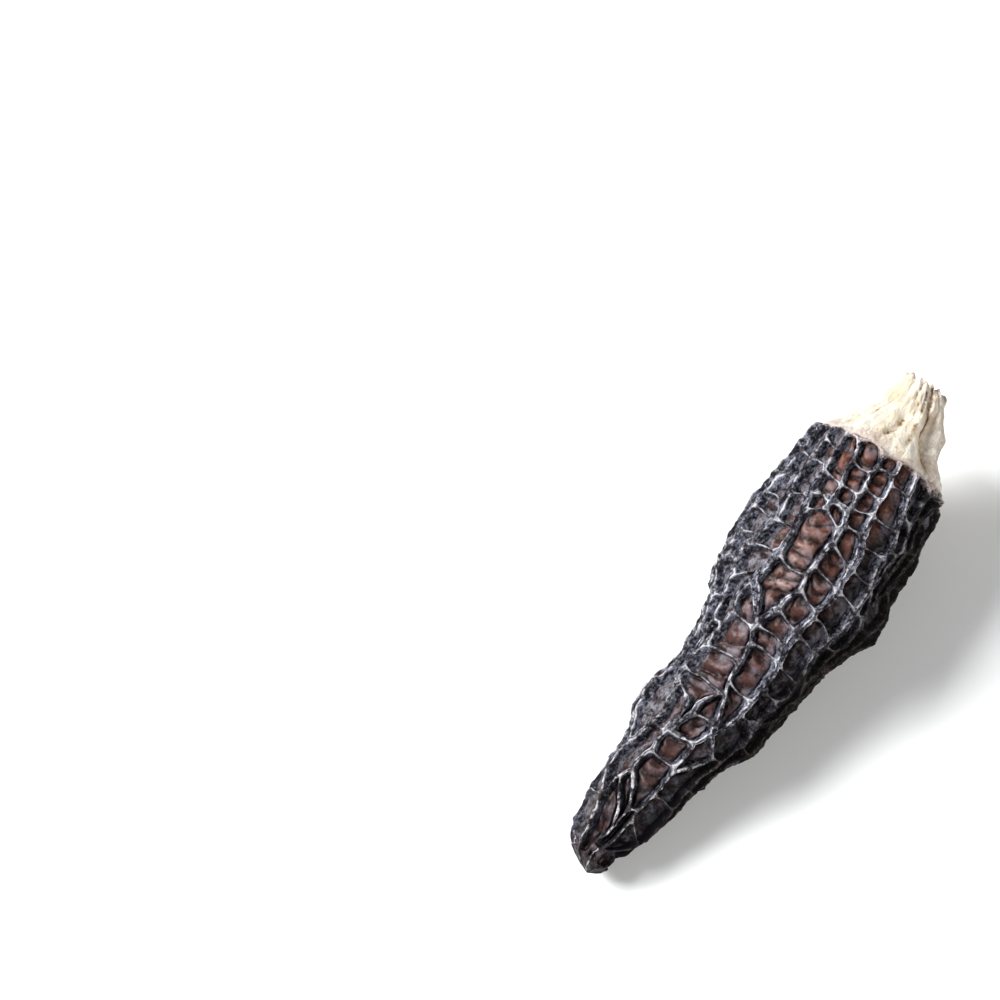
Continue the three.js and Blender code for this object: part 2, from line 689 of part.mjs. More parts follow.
// The net as a closed relief: crests at full height, pits sunk between them.
function reliefGeometry() {
  const points = corners.map(({ along, turn, sag }) => capPoint(along, turn, sag));
  const triangles = [];
  const addPoint = (point) => points.push(point) - 1;
  const addTriangles = (added) => triangles.push(...added);
  const base = [-RIM_MIDDLE, -capMiddle(RIM_MIDDLE), 0];
  const tip = [-TIP_ALONG, -TIP_ACROSS, 0];
  facesOfNet().forEach((face) => {
    const round = turnsRound(face);
    if (round === 0) {
      addPit(face, addPoint, addTriangles);
    } else {
      addTriangles(fanTriangles(face, addPoint(round > 0 ? base : tip)));
    }
  });
  return geometryOf(points, triangles);
}

// A closed skin through sections, each a ring of points in the order of the turn.
function loft(sections) {
  const sides = sections[0].length;
  const ring = (i) => Array.from({ length: sides }, (_, j) => i * sides + j);
  const points = sections.flat();
  const triangles = sections.slice(1).flatMap((_, i) => ringTriangles(ring(i + 1), ring(i)));
  const middleOf = (section) => {
    const sum = section.reduce(([x, y, z], p) => [x + p[0], y + p[1], z + p[2]], [0, 0, 0]);
    return sum.map((value) => value / sides);
  };
  points.push(middleOf(sections[0]), middleOf(sections[sections.length - 1]));
  triangles.push(...fanTriangles(ring(0), points.length - 2));
  triangles.push(...fanTriangles(ring(sections.length - 1).reverse(), points.length - 1));
  return geometryOf(points, triangles);
}

function turns(sides) {
  return Array.from({ length: sides }, (_, j) => (2 * Math.PI * j) / sides);
}

// The hollow of the cap: it follows the outside, one wall behind the pits, to a blunt end.
function cavityGeometry() {
  const rows = [-2, 1, 5, 9, 13, 17, 21, 25, 29, 33, 37, 40, CAVITY_END - 2, CAVITY_END];
  const sections = rows.map((along) => {
    const close = Math.sqrt(THREE.MathUtils.clamp((CAVITY_END + 0.5 - along) / 6, 0, 1));
    const radius = (capRadius(along) - PIT_DEPTH - WALL) * close;
    return turns(CAVITY_SIDES).map((turn) => {
      return [-along, -capMiddle(along) - radius * Math.sin(turn), radius * Math.cos(turn)];
    });
  });
  return loft(sections);
}

// ---- The stem ---------------------------------------------------------------------------------

const stemLeft = smooth(STEM_SIDES, 1);
const stemRight = smooth(STEM_SIDES, 2);
const boreRadius = smooth(STEM_BORE, 1);
const stemRadius = (along) => (stemRight(along) - stemLeft(along)) / 2;
const stemMiddle = (along) => (stemRight(along) + stemLeft(along)) / 2;

// How deep the creases cut in at one place of the stem.
function creaseDepth(along, turn) {
  return STEM_CREASES.reduce((sum, [at, depth, width, from, to]) => {
    const off = shortWay(turn - at) / width;
    const fadeIn = THREE.MathUtils.smoothstep(along, from - 1, from + 1);
    const fadeOut = 1 - THREE.MathUtils.smoothstep(along, to - 1.5, to);
    return sum + depth * Math.exp(-off * off) * fadeIn * fadeOut;
  }, 0);
}

function stemPoint(along, turn) {
  const radius = stemRadius(along) - creaseDepth(along, turn);
  return [-along, -stemMiddle(along) - radius * Math.sin(turn), radius * Math.cos(turn)];
}

function stemGeometry() {
  const steps = Array.from({ length: STEM_ROWS + 1 }, (_, i) => i / STEM_ROWS);
  const sections = steps.map((share) => turns(STEM_SIDES_ROUND).map((turn) => {
    const top = rimAlong(turn) - JOINT_GAP;
    return stemPoint(STEM_END + share * (top - STEM_END), turn);
  }));
  return loft(sections);
}

function boreGeometry() {
  const rows = [STEM_END - 1, STEM_END + 0.5, -8, -6, -4, -2, 0, 2.5];
  const sections = rows.map((along) => turns(CAVITY_SIDES).map((turn) => {
    const radius = boreRadius(along);
    return [-along, -stemMiddle(along) - radius * Math.sin(turn), radius * Math.cos(turn)];
  }));
  return loft(sections);
}

// ---- The mushroom, laid on its side -----------------------------------------------------------

const morel = new THREE.Group();
morel.name = "morel";

// Rolled about its own axis first, then leant so that belly and tip touch the surface.
const lie = new THREE.Matrix4()
  .makeRotationY(THREE.MathUtils.degToRad(-LEAN_DEG))
  .multiply(new THREE.Matrix4().makeRotationX(THREE.MathUtils.degToRad(ROLL_DEG)));

const relief = reliefGeometry().applyMatrix4(lie);
const stump = stemGeometry().applyMatrix4(lie);
relief.computeBoundingBox();
stump.computeBoundingBox();
const box = relief.boundingBox.clone().union(stump.boundingBox);
const place = new THREE.Matrix4().makeTranslation(
  -(box.min.x + box.max.x) / 2,
  -(box.min.y + box.max.y) / 2,
  -box.min.z - FLAT_CUT,
);

// What lies under the surface, which has flattened the lowest ridges.
const ground = new THREE.BoxGeometry(200, 200, 20).translate(0, 0, -10);

const capSolid = solidOf(relief.applyMatrix4(place))
  .subtract(solidOf(cavityGeometry().applyMatrix4(lie).applyMatrix4(place)))
  .subtract(solidOf(ground));
const stemSolid = solidOf(stump.applyMatrix4(place))
  .subtract(solidOf(boreGeometry().applyMatrix4(lie).applyMatrix4(place)));

function addOrgan(name, solid, color, roughness) {
  const material = new THREE.MeshStandardMaterial({ color, roughness, metalness: 0 });
  const organ = new THREE.Mesh(geometryOfSolid(solid), material);
  organ.name = name;
  morel.add(organ);
}

addOrgan("cap", capSolid, "#2a201d", 0.7);
addOrgan("stem", stemSolid, "#d8cdb4", 0.85);

export default morel;
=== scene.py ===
# %% [markdown]
# # A dried black morel
# A morel is one grown body in two organs. The cap is a hollow cone covered with a net of raised
# ridges round deep pits. The stem is a pale, fluted tube, cut off short. The engineered solids of
# both are loaded as a fixed frame. Each is then dressed: a copy of the solid is smoothed, wrinkled
# and given the look of dried flesh, and stands for the plain solid from there on.

# %% Load the frame
import math

import bpy
import numpy as np
from mathutils import Matrix, Vector, kdtree, noise


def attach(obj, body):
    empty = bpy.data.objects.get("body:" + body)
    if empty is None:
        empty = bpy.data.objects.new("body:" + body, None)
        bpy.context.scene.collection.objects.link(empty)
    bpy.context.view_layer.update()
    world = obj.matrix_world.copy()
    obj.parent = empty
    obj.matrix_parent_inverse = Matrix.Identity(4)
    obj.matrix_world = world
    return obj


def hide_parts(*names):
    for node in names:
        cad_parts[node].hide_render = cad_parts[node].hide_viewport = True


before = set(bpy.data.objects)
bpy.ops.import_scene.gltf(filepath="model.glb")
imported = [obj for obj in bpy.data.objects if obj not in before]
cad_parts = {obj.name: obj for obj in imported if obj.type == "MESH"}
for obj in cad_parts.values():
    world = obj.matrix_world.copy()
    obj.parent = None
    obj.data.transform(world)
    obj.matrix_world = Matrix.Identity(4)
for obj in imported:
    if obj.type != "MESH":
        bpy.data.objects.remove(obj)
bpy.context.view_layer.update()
MM = 0.001

# %% [markdown]
# ## The mushroom's own measures
# The mushroom lies on its side, so its own axis is tilted in the room. Nearly everything on it
# follows that axis: ridges run along it and wrinkles run round it. So every point is also given in
# the mushroom's own measures, in millimetres: along the axis from the base of the cap, across it,
# and up. Its turn, in radians, says which way round the axis it faces, with 0 for straight up.

# %% From the room to the mushroom and back
CAP_BASE = Vector((26.04, 0.53, 14.00)) * MM  # the middle of the cap's base
CAP_LENGTH = 64  # mm
LEAN = math.radians(9.7)  # the axis leans down towards the tip
ROLL = math.radians(10.3)  # and the mushroom is rolled about it

LYING = Matrix.Rotation(-LEAN, 3, "Y") @ Matrix.Rotation(ROLL, 3, "X")
TO_TIP = np.array(LYING @ Vector((-1, 0, 0)))  # the direction of the axis in the room


def own_places(points):
    """Points in the mushroom's own axes: along towards the tip, across, and up, in millimetres."""
    local = (points - np.array(CAP_BASE)) @ np.array(LYING) / MM
    return np.column_stack([-local[:, 0], -local[:, 1], local[:, 2]])


def room_places(own):
    """Places in the mushroom's own axes, put back into the room, in metres."""
    turned_back = np.column_stack([-own[:, 0], -own[:, 1], own[:, 2]]) @ np.array(LYING).T
    return turned_back * MM + np.array(CAP_BASE)


def smoothstep(low, high, value):
    """0 at low, 1 at high, smooth between. It falls instead where low is the larger number."""
    t = np.clip((value - low) / (high - low), 0, 1)
    return t * t * (3 - 2 * t)


print("axis of the cap points to", tuple(round(float(v), 3) for v in TO_TIP))

# %% [markdown]
# ## Helpers for meshes
# They keep the later cells short: reading and writing all points of a mesh at once, storing a value
# on each point that a material can read later as an attribute, and the three steps that both
# organs go through, which are welding, pairing of triangles, and subdivision.


# %% Read and write a mesh
def rows_of(items, name, width, kind=float):
    """What the vertices or edges of a mesh keep under this name, one row for each."""
    flat = np.empty(len(items) * width, kind)
    items.foreach_get(name, flat)
    return flat.reshape(-1, width)


def points_of(mesh):
    return rows_of(mesh.vertices, "co", 3)


def edges_of(mesh):
    return rows_of(mesh.edges, "vertices", 2, int)


def move_points(mesh, points):
    mesh.vertices.foreach_set("co", points.ravel())
    mesh.update()


def store(mesh, name, values):
    """Keep one number for each point, under a name that a material can read."""
    layer = mesh.attributes.get(name) or mesh.attributes.new(name, "FLOAT", "POINT")
    layer.data.foreach_set("value", np.asarray(values, np.float32))


def read(mesh, name):
    values = np.empty(len(mesh.vertices), np.float32)
    mesh.attributes[name].data.foreach_get("value", values)
    return values.astype(float)


SEED_STEP = 17.3  # moves each seed to its own part of the noise
NOISE_GAIN = 1.6  # brings the noise to between about -1 and 1


def wrinkle(places, scale, seed):
    """Smooth seeded noise between about -1 and 1, read at places scaled by three numbers."""
    spots = places * np.array(scale) + seed * SEED_STEP
    return np.array([noise.noise(Vector(spot)) for spot in spots]) * NOISE_GAIN


print("mesh helpers ready")


# %% Weld, pair and subdivide
WELD_WITHIN = 2e-6  # m


def pick(thing):
    """Make this the one selected and active object."""
    bpy.ops.object.select_all(action="DESELECT")
    thing.select_set(True)
    bpy.context.view_layer.objects.active = thing


def welded_copy(node, name):
    """A copy of a solid with its loose triangles joined along their edges."""
    copy = bpy.data.objects.new(name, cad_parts[node].data.copy())
    bpy.context.scene.collection.objects.link(copy)
    pick(copy)
    bpy.ops.object.mode_set(mode="EDIT")
    bpy.ops.mesh.select_all(action="SELECT")
    bpy.ops.mesh.remove_doubles(threshold=WELD_WITHIN)
    bpy.ops.object.mode_set(mode="OBJECT")
    copy.data.materials.clear()
    return copy


def pair_triangles(thing, bend, keep_sharp=False):
    """Join triangles to four-sided faces, over bends up to this many degrees.

    With keep_sharp, none are joined across a sharp edge, and the sharp edges are cleared after it.
    """
    pick(thing)
    bpy.ops.object.mode_set(mode="EDIT")
    bpy.ops.mesh.select_all(action="SELECT")
    bpy.ops.mesh.tris_convert_to_quads(
        face_threshold=math.radians(bend), shape_threshold=math.radians(120), sharp=keep_sharp
    )
    if keep_sharp:
        bpy.ops.mesh.mark_sharp(clear=True)
    bpy.ops.object.mode_set(mode="OBJECT")
    print(thing.name, "faces before subdivision:", len(thing.data.polygons))


def subdivide(thing, levels):
    """Turn the flat facets into grown flesh."""
    growth = thing.modifiers.new("Grown flesh", "SUBSURF")
    growth.levels = growth.render_levels = levels
    pick(thing)
    bpy.ops.object.modifier_apply(modifier=growth.name)
    bpy.ops.object.shade_smooth()
    print(thing.name, "triangles:", sum(len(face.vertices) - 2 for face in thing.data.polygons))


print("organ helpers ready")

# %% [markdown]
# ## Camera, light and table
# The mushroom is looked at from steeply above, with its tip towards the lower left. A long lens
# keeps it from bulging. The light is one big soft source at the upper left, so ridges on the left
# are pale and those on the right fall into shade, and the colours of the cap paint that light and
# shade in as well. A far weaker source at the lower right and a weak even light keep the shade open.

# %% Camera
AIM = Vector((-6.2, 36.56, 12.4)) * MM
TURN_ROUND = math.radians(-144.1)
LOOK_DOWN = math.radians(72)
DISTANCE = 347 * MM
LENS = 100  # mm
NEAREST_SEEN = 0.01  # m

away = Vector((
    math.cos(LOOK_DOWN) * math.cos(TURN_ROUND),
    math.cos(LOOK_DOWN) * math.sin(TURN_ROUND),
    math.sin(LOOK_DOWN),
))
bpy.ops.object.camera_add(location=AIM + away * DISTANCE)
camera = bpy.context.object
camera.rotation_euler = (-away).to_track_quat("-Z", "Y").to_euler()
camera.data.lens = LENS
camera.data.clip_start = NEAREST_SEEN
bpy.context.scene.camera = camera
print("camera at", tuple(round(v, 3) for v in camera.location))

# %% Light
EVEN_LIGHT = 0.22
EVEN_TINT = (0.9, 0.95, 1.0, 1)

right = Vector((-math.sin(TURN_ROUND), math.cos(TURN_ROUND), 0))
upward = away.cross(right)


def soft_light(name, side, up, towards, size, power, colour):
    """A square light aimed at the mushroom, placed by how it lies in the camera's view, in metres."""
    place = right * side + upward * up + away * towards
    bpy.ops.object.light_add(type="AREA", location=CAP_BASE + place)
    lamp = bpy.context.object
    lamp.name = name
    lamp.rotation_euler = (-place).to_track_quat("-Z", "Y").to_euler()
    lamp.data.size = size
    lamp.data.energy = power
    lamp.data.color = colour


soft_light("key", side=-1.4, up=0.95, towards=1.15, size=1.0, power=92.0, colour=(0.97, 0.985, 1.0))
soft_light("fill", side=0.9, up=-0.6, towards=1.3, size=1.4, power=18.0, colour=(1.0, 0.98, 0.96))

world = bpy.data.worlds.new("even light")
bpy.context.scene.world = world
world.use_nodes = True
world.node_tree.nodes["Background"].inputs["Color"].default_value = EVEN_TINT
world.node_tree.nodes["Background"].inputs["Strength"].default_value = EVEN_LIGHT
bpy.context.scene.view_settings.view_transform = "Standard"


# %% Table top
def principled(name, colour, roughness):
    """A material with one Principled shader, and that shader's node."""
    material = bpy.data.materials.new(name)
    material.use_nodes = True
    shader = material.node_tree.nodes["Principled BSDF"]
    shader.inputs["Base Color"].default_value = (*colour, 1)
    shader.inputs["Roughness"].default_value = roughness
    return material, shader


bpy.ops.mesh.primitive_plane_add(size=3, location=(0, 0, 0))
table = bpy.context.object
table.name = "table_top"
table.data.materials.append(principled("pale table", (0.86, 0.86, 0.85), 0.6)[0])
print("table top added")

# %% [markdown]
# ## The cap
# The solid already has the net in its right places, with flat facets: each pit goes down from its
# crest, over the edge of its mouth, to the foot of its wall and the hub of its floor. Subdivision
# turns that into grown flesh, and the heights are written afresh after it. For that, the points
# have to be told apart first.

# %% Weld the cap
cap = welded_copy("cap", "honeycomb_cap")
net_places = own_places(points_of(cap.data))
net_along = net_places[:, 0]
a, b = edges_of(cap.data).T
length = np.linalg.norm(net_places[a] - net_places[b], axis=1)
print("points:", len(net_places), "edges:", len(length))

# %% Middle and half width of the cap, slice by slice
SLICE_STEP = 1.0  # mm
SLICE_REACH = 1.2  # mm, on either side of a slice's centre

slice_at = np.arange(-1, CAP_LENGTH + 0.5, SLICE_STEP)
slice_rows = []
for centre in slice_at:
    across = net_places[np.abs(net_along - centre) < SLICE_REACH, 1]
    slice_rows.append(((across.max() + across.min()) / 2, (across.max() - across.min()) / 2))
slice_middle, slice_half = np.array(slice_rows).T


def round_the_axis(places):
    """For each place: its distance from the axis, and its turn."""
    off = places[:, 1] - np.interp(places[:, 0], slice_at, slice_middle)
    return np.hypot(off, places[:, 2]), np.arctan2(off, places[:, 2])


print("slices:", len(slice_at), "widest:", round(float(slice_half.max() * 2), 1), "mm")

# %% [markdown]
# A wall is the only steep part of a pit, so a steep edge joins a mouth above to a foot below. A
# point that touches nothing but feet is the hub of a floor. Points far below the outside belong to
# the hollow, which ends well before the tip.

# %% Tell mouth, foot and hub apart
HOLLOW_DEPTH = 2.9  # mm below the half width, deeper than any pit
HOLLOW_END = 46.6  # mm along
PITS_END = 61.4  # mm along, where the bare tip starts
STEEP_RISE = 0.7  # as a share of the edge's length
WALL_LENGTH = 0.4  # mm, at least

radial, turn = round_the_axis(net_places)
wide = np.interp(net_along, slice_at, slice_half)
inside = (radial < wide - HOLLOW_DEPTH) & (net_along < HOLLOW_END)
without_pits = inside | (net_along > PITS_END)


def marked(numbers):
    """A mask over the points of the solid, true for these."""
    mask = np.zeros(len(radial), bool)
    mask[numbers] = True
    return mask


rises = radial[a] > radial[b]
steep = (np.abs(radial[a] - radial[b]) > STEEP_RISE * length) & (length > WALL_LENGTH)
steep &= ~without_pits[a] & ~without_pits[b]
foot = marked(np.where(rises, b, a)[steep])
touches_other = marked(np.concatenate([a[~foot[b]], b[~foot[a]]]))
hub = ~touches_other & ~foot & ~inside
steep &= ~hub[a] & ~hub[b]
mouth = marked(np.where(rises, a, b)[steep]) & ~foot
print("mouth", mouth.sum(), "foot", foot.sum(), "hub", hub.sum(), "inside", inside.sum())

# %% [markdown]
# A crest point can pass for a mouth where a steep facet starts at it. Two signs give it away: it
# stands higher than the points close to it, or it touches two different pits. So the pits are told
# apart first, each by the lowest number among its floor points.

# %% Number the pits
NUMBER_ROUNDS = 40  # more than any pit has points in a row

floor_point = foot | hub
within = floor_point[a] & floor_point[b]
pit = np.arange(len(radial))
for _ in range(NUMBER_ROUNDS):
    lowest = np.minimum(pit[a[within]], pit[b[within]])
    np.minimum.at(pit, a[within], lowest)
    np.minimum.at(pit, b[within], lowest)
print("pits:", len(np.unique(pit[floor_point])))


# %% Find the crest points that a steep facet hides
def touches_two_pits(counted):
    """Points whose counted neighbours lie in more than one pit, and each point's first pit."""
    first = np.full(len(radial), len(radial))
    last = np.full(len(radial), -1)
    for one, other in ((a, b), (b, a)):
        known = counted[other]
        np.minimum.at(first, one[known], pit[other[known]])
        np.maximum.at(last, one[known], pit[other[known]])
    return (first < last), first


CLOSE_BY = 0.5  # mm
HIGHER_BY = 0.02  # mm
RIM_END = 0.15  # mm along
RIM_DROP = 0.6  # mm below the half width

above = radial - wide
on_top = ~(foot | hub | inside)
close = (length < CLOSE_BY) & on_top[a] & on_top[b]
highest_near = np.full(len(radial), np.inf)
highest_near[np.concatenate([a[close], b[close]])] = -np.inf
np.maximum.at(highest_near, a[close], above[b[close]])
np.maximum.at(highest_near, b[close], above[a[close]])

two_floors, own_pit = touches_two_pits(floor_point)
hidden = mouth & ((above > highest_near + HIGHER_BY) | two_floors)
plain_mouth = mouth & ~hidden
pit[plain_mouth] = own_pit[plain_mouth]
hidden |= mouth & touches_two_pits(floor_point | plain_mouth)[0]
at_rim = (net_along < RIM_END) & (above > -RIM_DROP) & ~inside
mouth &= ~hidden & ~at_rim
foot &= ~at_rim
crest = ~(mouth | foot | hub | inside)
print("crest", crest.sum(), "mouth", mouth.sum(), "foot", foot.sum())

# %% [markdown]
# Three things are handed down to the finer mesh. One is the ring, from 0 on the crest to 3 on the
# hub of the floor. Another is the smooth hull that the crests touch, which each lower point takes
# from the crest points nearest to it. The third is a mark on the points of the hollow.

# %% Ring and hull
PLAIN_RADIUS = 9  # mm, of the cylinder on which places are compared
CRESTS_ASKED = 8  # nearest crest points that share in the hull over a point
EVENING = 0.1  # mm squared, so that no crest point decides alone


def tree_of(places):
    """A search tree that finds the nearest of the given places."""
    found = kdtree.KDTree(len(places))
    for number, place in enumerate(places):
        found.insert(place, number)
    found.balance()
    return found


on_cylinder = np.column_stack([net_along, PLAIN_RADIUS * np.sin(turn), PLAIN_RADIUS * np.cos(turn)])
crest_radial = radial[crest]
crest_tree = tree_of(on_cylinder[crest])
hull = radial.copy()
for number in np.flatnonzero(mouth | foot | hub):
    near = crest_tree.find_n(on_cylinder[number], CRESTS_ASKED)
    weights = [1 / (distance**2 + EVENING) for _, _, distance in near]
    hull[number] = np.average([crest_radial[k] for _, k, _ in near], weights=weights)
ring = mouth * 1.0 + foot * 2.0 + hub * 3.0
for name, values in (("ring", ring), ("hull", hull), ("inside", inside * 1.0)):
    store(cap.data, name, values)
print("hull from", round(float(hull[crest].min()), 1), "to", round(float(hull.max()), 1), "mm")

# %% [markdown]
# The triangles are joined in pairs, because a subdivision surface makes smooth strips of four-sided
# faces and lumps of triangles. The lines of the net are marked sharp meanwhile, so that no pair is
# joined across one.

# %% Pair the triangles and subdivide
keep = (ring[a] == ring[b]) & (ring[a] < 3) & ~(inside[a] & inside[b])
cap.data.edges.foreach_set("use_edge_sharp", keep)
pair_triangles(cap, 65, keep_sharp=True)
subdivide(cap, 2)

# %% [markdown]
# ## The net in detail
# Ridges are of two kinds. The long ones are webs: broad bands of flesh with two raised lips and a
# shallow trough between. The cross ridges are blades, hardly thicker than card. The crest lines of
# the finer mesh are sampled, and each sample counts as web or blade by how nearly its line runs
# along the axis, evened out with its neighbours.

# %% Sample the crest lines
SHARES = (0.125, 0.375, 0.625, 0.875)  # of a line's length, where it is sampled
NEIGHBOURS = 7
AS_GOOD_AS_0 = 0.01  # for a ring or a mark
BLADE_TO_WEB = (0.5, 0.85)  # share of a line's length that goes along the axis

places = own_places(points_of(cap.data))
along = places[:, 0]
radial, turn = round_the_axis(places)
ring = read(cap.data, "ring")
hull = read(cap.data, "hull")
in_hollow = read(cap.data, "inside")
on_hull = np.column_stack([along, hull * np.sin(turn), hull * np.cos(turn)])

ends = edges_of(cap.data)
on_crest = (ring < AS_GOOD_AS_0) & (in_hollow < AS_GOOD_AS_0)
ends = ends[on_crest[ends].all(axis=1)]
run = on_hull[ends[:, 1]] - on_hull[ends[:, 0]]
run_length = np.maximum(np.linalg.norm(run, axis=1), 1e-6)
samples = np.concatenate([on_hull[ends[:, 0]] + run * share for share in SHARES])
kinds = np.tile(smoothstep(*BLADE_TO_WEB, np.abs(run[:, 0]) / run_length), len(SHARES))
sample_tree = tree_of(samples)
even_kinds = np.array([
    np.mean([kinds[number] for _, number, _ in sample_tree.find_n(sample, NEIGHBOURS)])
    for sample in samples
])
of_web = even_kinds > 0.5
print("crest samples:", len(samples), "of webs:", int(of_web.sum()))


# %% Distance from webs and blades
def nearest_of(chosen):
    """The nearest of the chosen samples to each point of the cap, and how far it is."""
    search = tree_of(samples[chosen])
    found = [search.find(place) for place in on_hull]
    return samples[chosen][[number for _, number, _ in found]], np.array([far for _, _, far in found])


web_spots, from_web = nearest_of(of_web)
from_blade = nearest_of(~of_web)[1]
web_turn = np.arctan2(web_spots[:, 1], web_spots[:, 2])
print("farthest from a web:", round(float(from_web.max()), 1), "mm")

# %% [markdown]
# The gap is how far a point lies beyond the edge of the nearest ridge, and below 0 it lies on the
# ridge. It joins the gaps to webs and to blades so that a blade widens where it meets a web. Webs
# differ in width, and are slimmer near the base and towards the tip. The very tip has no pits of
# its own: there the ridges run together, so a few creases, side by side round the axis, take their
# place.

# %% Gap to the nearest ridge
WEB_HALF = (0.13, 0.42)  # mm, half the width of a web at least, and what varies on top
BLADE_HALF = 0.09  # mm
FILLET = 0.6  # mm, over which a blade widens into a web
SLIMMER = ((26, 46, 0.4), (13, 6, 0.45), (45, 54, 0.3))  # between these mm along, by these shares
TIP_FROM, TIP_TO = 59.2, 60.8  # mm along, where pits give way to creases
TIP_CREASES = 9

unrolled = np.column_stack([along, turn * hull, np.zeros(len(turn))])
swing = np.clip(0.5 + 0.6 * wrinkle(unrolled, (0.16, 0.16, 0), 13), 0, 1)
half_web = (WEB_HALF[0] + WEB_HALF[1] * swing) * (1 + 0.2 * wrinkle(unrolled, (0.9, 0.9, 0), 14))
slimness = 1
for start, end, share in SLIMMER:
    slimness = slimness - share * smoothstep(start, end, along)
web_gap = from_web - half_web * slimness
blade_gap = from_blade - BLADE_HALF
web = np.clip(0.5 + 0.5 * (blade_gap - web_gap) / FILLET, 0, 1)  # 1 near a web, 0 near a blade
gap = web_gap * web + blade_gap * (1 - web) - FILLET * web * (1 - web)

at_end = smoothstep(TIP_FROM, TIP_TO, along)
per_turn = TIP_CREASES / 2
tip_wave = np.abs(np.sin(per_turn * turn + 0.7 * wrinkle(unrolled, (0.5, 0, 0), 10)))
gap = gap * (1 - at_end) + (tip_wave * radial / per_turn - 1.3 * BLADE_HALF) * at_end
web *= 1 - at_end
print("gap from", round(float(gap.min()), 2), "to", round(float(gap.max()), 2), "mm")

# %% [markdown]
# Drying adds what no drawing gives: crests that waver and fray, floors that gather in lobes across
# the pit, and flanks with fine puckers. Each is seeded noise, read at the point's place on the
# unrolled skin, so it comes out the same each time. In the biggest pit the lobes lie aslant.

# %% Lobes, fraying and puckers
LOBE_LENGTH = 2.7  # mm
CRINKLE_LENGTH = 0.85  # mm
BIG_PIT = (17, -0.26)  # the middle of the biggest pit, in mm along and in turn
BIG_PIT_HALF = (8, 0.20)  # and half its length and width
ASLANT = (0.17, 2.0)  # lobes added in it for each mm along and each radian of turn

slant = wrinkle(unrolled, (0.10, 0.16, 0), 3)
lobe_turns = along / LOBE_LENGTH + 0.7 * slant - 0.16 * np.minimum(from_web, 2)
down_pit, over_pit = along - BIG_PIT[0], turn - BIG_PIT[1]
in_big_pit = np.exp(-((down_pit / BIG_PIT_HALF[0]) ** 4) - (over_pit / BIG_PIT_HALF[1]) ** 6)
lobe_turns += in_big_pit * (ASLANT[1] * over_pit + ASLANT[0] * down_pit)
crinkle_turns = along / CRINKLE_LENGTH + 2.2 * slant + 0.5 * wrinkle(unrolled, (0.5, 0.5, 0), 4)
lobe = np.abs(np.sin(math.pi * lobe_turns)) ** 0.8  # 1 on a lobe, 0 in the crease beside it
fray = wrinkle(unrolled, (1.0, 1.0, 0), 2)
pucker = wrinkle(unrolled, (2.3, 1.8, 0), 5)
print("share of points in the biggest pit:", round(float((in_big_pit > 0.5).mean()), 3))

# %% [markdown]
# Heights are counted from the hull. The top of a ridge follows a short profile over the gap. Beyond
# the top comes the wall, and then the floor, which rises from the wall's foot like a cushion and
# sinks again in the creases between its lobes.

# %% Heights of the net
WEB_TOP = ([-0.5, -0.3, -0.12, 0], [-0.12, -0.10, 0.05, -0.04])  # heights by the gap, both in mm
BLADE_TOP = ([-0.12, 0], [0.05, -0.12])
WALL_LEAN = 0.20  # mm
EDGE_DEPTH = (0.95, 1.35)  # mm, at a blade and at a web
CUSHION_DEPTH = 0.48  # mm, of the middle of a floor
CUSHION_REACH = 0.6  # mm, over which the floor rises from the wall
LOBE_DEPTH = 0.62  # mm
LOW_RIM = 0.35  # mm, by which blades are lower at the rim
FRAY = (0.09, 0.05)  # mm, on every ridge, and what webs have more
PUCKERS = (0.10, 0.03)  # mm, on webs and on floors

outside = 1 - np.clip(in_hollow * 3, 0, 1)
down_wall = smoothstep(0, WALL_LEAN, gap)
into_floor = np.maximum(gap - WALL_LEAN, 0)
cushion = 1 - np.exp(-into_floor / CUSHION_REACH)
edge_depth = EDGE_DEPTH[0] * (1 - web) + EDGE_DEPTH[1] * web
top = web * np.interp(gap, *WEB_TOP) + (1 - web) * np.interp(gap, *BLADE_TOP)

height = top * (1 - down_wall) - edge_depth * down_wall
height += (edge_depth - CUSHION_DEPTH) * cushion
height -= LOBE_DEPTH * smoothstep(0.1, 0.9, into_floor) * (1 - lobe)
height += (FRAY[0] + FRAY[1] * web) * fray * (1 - down_wall)
height += PUCKERS[0] * pucker * web * (1 - down_wall) + PUCKERS[1] * pucker * cushion
height -= LOW_RIM * smoothstep(1.3, 0.5, along) * (1 - web) * (1 - down_wall)

hull = hull * (1 - at_end) + radial * at_end
height *= 1 - at_end * (1 - 0.4 * np.clip(radial / 2.5, 0, 1))
new_radial = np.where(outside > 0, (hull + height) * outside + radial * (1 - outside), radial)
print("heights from", round(float(height.min()), 2), "to", round(float(height.max()), 2), "mm")


# %% Waver of the ridges and the ragged rim
def rim_line(turn):
    """How far the border of cap and stem strays along the axis, in millimetres."""
    circle = np.column_stack([np.zeros(len(turn)), 10 * np.sin(turn), 10 * np.cos(turn)])
    return 0.32 * wrinkle(circle, (1, 0.25, 0.25), 11) + 0.16 * wrinkle(circle, (1, 0.9, 0.9), 12)


free = outside * (1 - at_end)
sideways = 0.26 * wrinkle(unrolled, (0.30, 0.30, 0), 1) + 0.07 * wrinkle(unrolled, (1.3, 1.3, 0), 6)
lengthways = 0.30 * wrinkle(unrolled, (0.30, 0.40, 0), 7)
new_turn = turn + sideways / np.maximum(radial, 3) * free
new_along = along + lengthways * free * smoothstep(0, 2, along)
new_along += rim_line(turn) * smoothstep(1.8, 0.3, along)
flesh = room_places(np.column_stack([
    new_along,
    np.interp(along, slice_at, slice_middle) + new_radial * np.sin(new_turn),
    new_radial * np.cos(new_turn),
]))
flesh[:, 2] = np.maximum(flesh[:, 2], 0)  # nothing goes below the table
move_points(cap.data, flesh)
print("points moved by up to", round(float(np.abs(sideways).max()), 2), "mm sideways")
